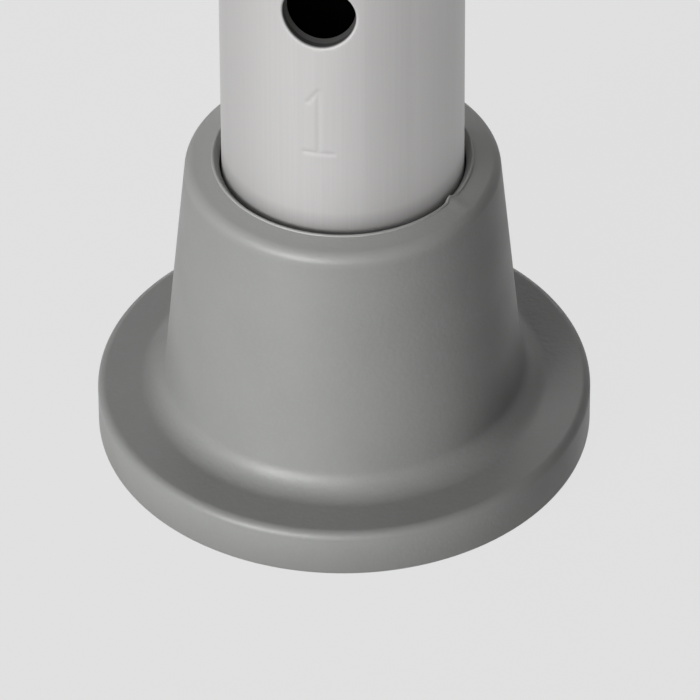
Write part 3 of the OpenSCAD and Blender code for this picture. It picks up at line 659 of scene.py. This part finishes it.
stamped = 0
for middle, paths in zip(NUMBER_MIDDLES, NUMBERS):
    paths = [[(x * NUMBER_W, y * NUMBER_H) for x, y in path] for path in paths]
    strokes = [pair for path in paths for pair in zip(path, path[1:])]
    for vertex in leg.data.vertices:
        if abs(vertex.co.z / MM - middle) < WINDOW_H and on_front([vertex.co], WINDOW_W, WINDOW_H):
            angle = math.atan2(vertex.co.x, -vertex.co.y)
            depth = stamp_depth(stroke_distance(angle * LEG_R, vertex.co.z / MM - middle, strokes))
            reach = (LEG_R - depth) * MM
            vertex.co.x, vertex.co.y = reach * math.sin(angle), -reach * math.cos(angle)
            stamped += depth > 0
print("points pressed in by the stamps:", stamped)

# %% cut the holes
hole_places = [(0, HOLE_FIRST + i * HOLE_PITCH, 0) for i in range(HOLE_COUNT)]
punch_holes(leg, make_punch(LEG_R, HOLE_R, LEG_WALL), hole_places)
dress(leg, "leg", satin_leg, "tube", "leg_tube", smooth=20)
apply_modifier(leg, "WEIGHTED_NORMAL", keep_sharp=True, weight=100)

# %% [markdown]
# ## The bows
# Each bow is one drawn tube, bent out and back above the post and once more above the grip. A bending
# machine pushes the tube forward and turns it round a die. The model is made in the same way: a ring is
# extruded for each straight push and spun round the die's centre for each bend, and the skin gets its wall
# afterwards. A curve with a round section would do too, but the spin gives each bend its exact radius.
# The left bow is the right one turned half round, with a mesh of its own.

# %% bend the right bow
BOW_R, BOW_WALL, BOW_SIDES = 9.5, 1.2, 96
BOW_X, BOW_FOOT = 21.5, 431.5
FOOT_RUN, GRIP_RUN, TOP_RUN = 100, 194, 115
SPREAD_R, SPREAD_TURN, SPREAD_LINK = 120.0, 17.9949, 106.044
FLARE_R, FLARE_TURN, FLARE_LINK = 200.0, 7.06087, 121.754


def push(place, heading, length, rings):
    run = Vector((math.sin(heading), 0, math.cos(heading))) * length
    for _ in range(rings):
        pull(run / rings * MM)
    return place + run, heading


def bend(place, heading, radius, degrees, rings):
    side = math.copysign(radius, degrees)
    centre = place + Vector((math.cos(heading), 0, -math.sin(heading))) * side
    bpy.ops.mesh.spin(steps=rings, angle=math.radians(degrees), center=centre * MM, axis=(0, -1, 0))
    heading += math.radians(degrees)
    return centre - Vector((math.cos(heading), 0, -math.sin(heading))) * side, heading


BOW_ROUTE = (  # the last number is how many rings the step gets
    (push, FOOT_RUN, 20),
    (bend, SPREAD_R, SPREAD_TURN, 16),
    (push, SPREAD_LINK, 6),
    (bend, SPREAD_R, -SPREAD_TURN, 16),
    (push, GRIP_RUN, 64),
    (bend, FLARE_R, FLARE_TURN, 10),
    (push, FLARE_LINK, 6),
    (bend, FLARE_R, -FLARE_TURN, 10),
    (push, TOP_RUN, 24),
)

clear_selection()
bpy.ops.mesh.primitive_circle_add(vertices=BOW_SIDES, radius=BOW_R * MM,
                                  location=(BOW_X * MM, 0, BOW_FOOT * MM))
bow_right = bpy.context.object
bow_right.name = bow_right.data.name = "bow_right_bent"
bpy.ops.object.transform_apply(location=True)
bpy.ops.object.mode_set(mode="EDIT")
bpy.ops.mesh.select_mode(type="EDGE")
bpy.ops.mesh.select_all(action="SELECT")
place, heading = Vector((BOW_X, 0, BOW_FOOT)), 0.0
for step, *measures in BOW_ROUTE:
    place, heading = step(place, heading, *measures)
face_outwards()
bpy.ops.object.mode_set(mode="OBJECT")
apply_modifier(bow_right, "SOLIDIFY", thickness=BOW_WALL * MM, offset=-1)
print("bow ends at", [round(c, 2) for c in place], "mm,",
      "box", [round(side / MM, 2) for side in bow_right.dimensions])

# %% punch the bows
BOLT_HOLE_R, SCREW_HOLE_R = 3.25, 2.05
GRIP_HOLES = [728.5 + 25 * i for i in range(7)]
JUNCTION_HOLES = (453.5, 509.5)
GRIP_X, REST_X, REST_SCREW_Z = 66.0, 84.0, 1163.5

bolt_places = [(GRIP_X, z, side) for z in GRIP_HOLES for side in (90, -90)]
bolt_places += [(BOW_X, z, side) for z in JUNCTION_HOLES for side in (90, -90)]
punch_holes(bow_right, make_punch(BOW_R, BOLT_HOLE_R, BOW_WALL), bolt_places)
pick(bow_right)
bpy.ops.object.duplicate()
bow_left = bpy.context.object
bow_left.name = bow_left.data.name = "bow_left_bent"
bow_left.rotation_euler = (0, 0, math.pi)
bpy.ops.object.transform_apply(rotation=True)
for bow, node, side in ((bow_left, "bow_left", -1), (bow_right, "bow_right", 1)):
    punch_holes(bow, make_punch(BOW_R, SCREW_HOLE_R, BOW_WALL), [(side * REST_X, REST_SCREW_Z, 0)])
    dress(bow, "frame", satin_tube, "tube", node, smooth=20)
    apply_modifier(bow, "WEIGHTED_NORMAL", keep_sharp=True, weight=100)

# %% [markdown]
# ## The snap button's spring
# Behind the button a leaf of spring steel is folded like a hairpin inside the post. It is a strip of one
# thickness, so its middle line is drawn, pulled out to its width and given its thickness.
# When the button is pressed, the front of the leaf goes in with it and the back stays on the post.
# Here the leaf is drawn at rest and stands in for the CAD spring.

# %% spring leaf
LEAF_W, LEAF_T = 6.0, 0.6
LEAF_FRONT, LEAF_BACK, LEAF_FOLD_R, LEAF_LEN = -4.99, 6.816, 2.3, 40.0
BUTTON_Z, LEAF_TAIL = 129.3, 3.8
LEAF_STEPS, FOLD_STEPS = 20, 12

slant = LEAF_BACK - 2 * LEAF_FOLD_R - LEAF_FRONT
strip = [(LEAF_FRONT, -LEAF_TAIL)]
strip += [(LEAF_FRONT + slant * i / LEAF_STEPS, LEAF_LEN * i / LEAF_STEPS) for i in range(LEAF_STEPS + 1)]
strip += arc((LEAF_BACK - LEAF_FOLD_R, LEAF_LEN), LEAF_FOLD_R, 180, 0, FOLD_STEPS)[1:]
strip += [(LEAF_BACK, LEAF_LEN / 2), (LEAF_BACK, -LEAF_TAIL)]
leaf = chain("button_spring_leaf", [Vector((-LEAF_W / 2, y, BUTTON_Z + z)) * MM for y, z in strip])
bpy.ops.mesh.select_all(action="SELECT")
pull((LEAF_W * MM, 0, 0))
face_outwards()
bpy.ops.object.mode_set(mode="OBJECT")
apply_modifier(leaf, "SOLIDIFY", thickness=LEAF_T * MM, offset=0)
coat(leaf, zinc_steel)
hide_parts("button_spring")
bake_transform(leaf)
print("spring leaf:", len(leaf.data.polygons), "faces")

# %% [markdown]
# ## The underarm pad
# The pad is a moulded foam roll, slit along its underside and pulled over the saddle's bar. It is fuller
# on top than below and ends in a round nose at each side. It starts as a long block with round ends, whose
# top and bottom are rounded by a row of small insets. It is given an even skin of small faces and
# is then blown up a little as a cloth skin under pressure, which makes the flanks crown as real foam does.
# The room for the bar is cut out of it while it is straight. Last it is bent to the saddle's curve
# in code, because Blender's own bend tool needs a window, and the room for the sockets is cut.

# %% pad block
PAD_HALF, PAD_HALF_W, PAD_SIDES = 109.0, 21.5, 64
PAD_UP, PAD_DOWN, PAD_ROUND, ROUND_STEPS = 22.6, 14.6, 13.0, 8

clear_selection()
bpy.ops.mesh.primitive_circle_add(vertices=PAD_SIDES, radius=PAD_HALF_W * MM, fill_type="NGON")
pad = bpy.context.object
pad.name = pad.data.name = "underarm_pad_foam"
for side in (-1, 1):
    select_where(pad, "vertices", lambda v: v.co.x * side > MM)
    bpy.ops.transform.translate(value=(side * (PAD_HALF - PAD_HALF_W) * MM, 0, 0))
bpy.ops.mesh.select_all(action="SELECT")
pull((0, 0, (PAD_UP - PAD_ROUND) * MM))
face_outwards()
quarter = [(1 - x, z) for x, z in arc((0, 0), 1, 0, 90, ROUND_STEPS)]
for up in (1, -1):
    select_where(pad, "polygons", lambda f: f.normal.z * up > 0.9)
    if up < 0:
        pull((0, 0, (PAD_ROUND - PAD_DOWN) * MM))
    for (in0, out0), (in1, out1) in zip(quarter, quarter[1:]):
        bpy.ops.mesh.inset(thickness=(in1 - in0) * PAD_ROUND * MM, depth=(out1 - out0) * PAD_ROUND * MM)
bpy.ops.object.mode_set(mode="OBJECT")
print("pad block:", [round(side / MM, 1) for side in pad.dimensions], "mm")

# %% pad skin under pressure
PAD_FACE, SWELL_PRESSURE, SWELL_FRAMES, SWELL_CAP = 3.5, 4, 20, 2.2
PAD_SMOOTHING = 6

pick(pad)
pad.data.remesh_voxel_size = PAD_FACE * MM
bpy.ops.object.voxel_remesh()
start = [vertex.co.copy() for vertex in pad.data.vertices]
bpy.ops.object.modifier_add(type="CLOTH")
cloth = pad.modifiers[-1]
cloth.settings.use_pressure = True
cloth.settings.uniform_pressure_force = SWELL_PRESSURE
cloth.settings.effector_weights.gravity = 0
for step in range(1, SWELL_FRAMES + 1):
    bpy.context.scene.frame_set(step)
bpy.ops.object.modifier_apply(modifier=cloth.name)
bpy.context.scene.frame_set(1)
moves = [vertex.co - place for vertex, place in zip(pad.data.vertices, start)]
for vertex, place, move in zip(pad.data.vertices, start, moves):
    vertex.co = place + move * min(1, SWELL_CAP * MM / max(move.length, 1e-9))
print("pad skin moved up to", round(max(move.length for move in moves) / MM, 1), "mm before the cap")
apply_modifier(pad, "SMOOTH", iterations=PAD_SMOOTHING)
apply_modifier(pad, "SUBSURF", levels=1, render_levels=1)
print("pad swollen to", [round(side / MM, 1) for side in pad.dimensions], "mm")

# %% room for the saddle's bar
BAR_HALF, BAR_HALF_W, BAR_HALF_H, BAR_CUTS = 99.2, 12.3, 7.3, 47
SLIT_HALF, SLIT_PAST = 4.0, 6


def bar_room(half_w, low, high):
    clear_selection()
    bpy.ops.mesh.primitive_cube_add(size=1, location=(0, 0, (low + high) / 2 * MM))
    hollow = bpy.context.object
    hollow.scale = (2 * BAR_HALF * MM, 2 * half_w * MM, (high - low) * MM)
    bpy.ops.object.transform_apply(location=True, scale=True)

    def lengthwise(edge):
        first, last = [hollow.data.vertices[i].co for i in edge.vertices]
        return abs(first.x - last.x) > MM

    select_where(hollow, "edges", lengthwise)
    bpy.ops.mesh.subdivide(number_cuts=BAR_CUTS)
    bpy.ops.object.mode_set(mode="OBJECT")
    return hollow


cut_away(pad, bar_room(BAR_HALF_W, -BAR_HALF_H, BAR_HALF_H))
cut_away(pad, bar_room(SLIT_HALF, -PAD_DOWN - SLIT_PAST, 0))
print("pad hollowed for the bar:", len(pad.data.polygons), "faces")

# %% bend the pad to the saddle
REST_R, REST_CENTRE = 420.0, 1606.05
SOCKET_OUT_R, SOCKET_LOW, SOCKET_HIGH, SOCKET_SIDES = 12.8, 1140.0, 1195.0, 64

for vertex in pad.data.vertices:
    angle = vertex.co.x / (REST_R * MM)
    radius = REST_R * MM - vertex.co.z
    vertex.co.x = radius * math.sin(angle)
    vertex.co.z = REST_CENTRE * MM - radius * math.cos(angle)
for side in (-1, 1):
    clear_selection()
    middle = (side * REST_X * MM, 0, (SOCKET_LOW + SOCKET_HIGH) / 2 * MM)
    bpy.ops.mesh.primitive_cylinder_add(vertices=SOCKET_SIDES, radius=SOCKET_OUT_R * MM,
                                        depth=(SOCKET_HIGH - SOCKET_LOW) * MM, location=middle)
    cut_away(pad, bpy.context.object)
dress(pad, "frame", grey_foam, "foam", "underarm_pad", smooth=45)

# %% [markdown]
# ## The hand grip
# The grip is a foam sleeve on a core tube, with three shallow swells for the fingers and rolled ends.
# It is turned like the tip: its section runs along the bore and back over the swells, is spun, and the
# whole is then laid across the crutch.

# %% grip sleeve
GRIP_Z, GRIP_HALF, GRIP_BORE, BORE_EDGE = 803.5, 50.2, 8.3, 0.8
WAIST_R, SWELL, SWELL_PITCH, ROLL_R = 15.5, 1.5, 25.1, 3.0
GRIP_STEPS, GRIP_SIDES = 40, 96


def grip_radius(x):
    reach = abs(x) if abs(x) < SWELL_PITCH / 2 else abs(abs(x) - SWELL_PITCH)
    if reach > SWELL_PITCH / 2:
        return WAIST_R
    return WAIST_R + SWELL * math.cos(math.pi * reach / SWELL_PITCH) ** 2


end = GRIP_HALF - ROLL_R
stations = [end * (i / GRIP_STEPS - 1) for i in range(1, 2 * GRIP_STEPS)]
section = [(GRIP_BORE, -GRIP_HALF + BORE_EDGE), (GRIP_BORE + BORE_EDGE, -GRIP_HALF)]
section += arc((WAIST_R - ROLL_R, -end), ROLL_R, -90, 0, steps=8)
section += [(grip_radius(x), x) for x in stations]
section += arc((WAIST_R - ROLL_R, end), ROLL_R, 0, 90, steps=8)
section += [(GRIP_BORE + BORE_EDGE, GRIP_HALF), (GRIP_BORE, GRIP_HALF - BORE_EDGE), section[0]]
grip = lathe("grip_sleeve", section, GRIP_SIDES)
grip.rotation_euler = (0, math.pi / 2, 0)
grip.location = (0, 0, GRIP_Z * MM)
dress(grip, "grip", grey_foam, "foam", "hand_grip", smooth=50)

# %% [markdown]
# ## Cast and moulded edges
# The wing nut is cast and the spacers between the tubes are moulded, so none of their edges is sharp:
# metal and plastic flow round the corners of the mould. Bevelling each edge by hand would take long on
# shapes that run into each other. Instead, a copy of the solid gets a new even skin of very small faces, and
# a few rounds of smoothing wear its edges down to a small radius, while the large faces stay where they are.

# %% cast wing nut and moulded spacers
WELD_GAP = 0.001


def worn_copy(node, name, face, rounds):
    pick(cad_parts[node])
    bpy.ops.object.duplicate()
    copy = bpy.context.object
    copy.name = copy.data.name = name
    for mark in list(copy.keys()):
        del copy[mark]
    bpy.ops.object.mode_set(mode="EDIT")
    bpy.ops.mesh.select_all(action="SELECT")
    bpy.ops.mesh.remove_doubles(threshold=WELD_GAP * MM)
    bpy.ops.object.mode_set(mode="OBJECT")
    copy.data.remesh_voxel_size = face * MM
    bpy.ops.object.voxel_remesh()
    apply_modifier(copy, "SMOOTH", iterations=rounds)
    return copy


wing = worn_copy("wing_nut", "wing_nut_cast", face=0.3, rounds=8)
dress(wing, "nut", zinc_steel, "steel", "wing_nut", smooth=60)
spacers = worn_copy("junction_spacers", "junction_spacers_moulded", face=0.45, rounds=5)
dress(spacers, "frame", dark_plastic, "plastic", "junction_spacers", smooth=60)

# %% [markdown]
# ## Finishes for the CAD pieces
# The small hardware, the post and the plastic caps have their right shape from CAD and only need
# a finish. Each goes by what the piece is made of.

# %% finishes by piece
FINISHES = (
    (satin_tube, ("centre_post", "grip_core")),
    (zinc_steel, ("tip_washer", "junction_washers", "junction_bolts", "junction_nuts",
                  "push_button", "rest_screws", "grip_bolt", "grip_washers")),
    (dark_plastic, ("leg_cuff", "post_foot_plug", "post_top_cap", "bow_end_plugs",
                    "underarm_saddle", "grip_cap_left", "grip_cap_right")),
)
for finish, names in FINISHES:
    for name in names:
        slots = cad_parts[name].data.materials
        slots.clear()
        slots.append(finish)
    print(finish.name, "on", len(names), "CAD pieces")
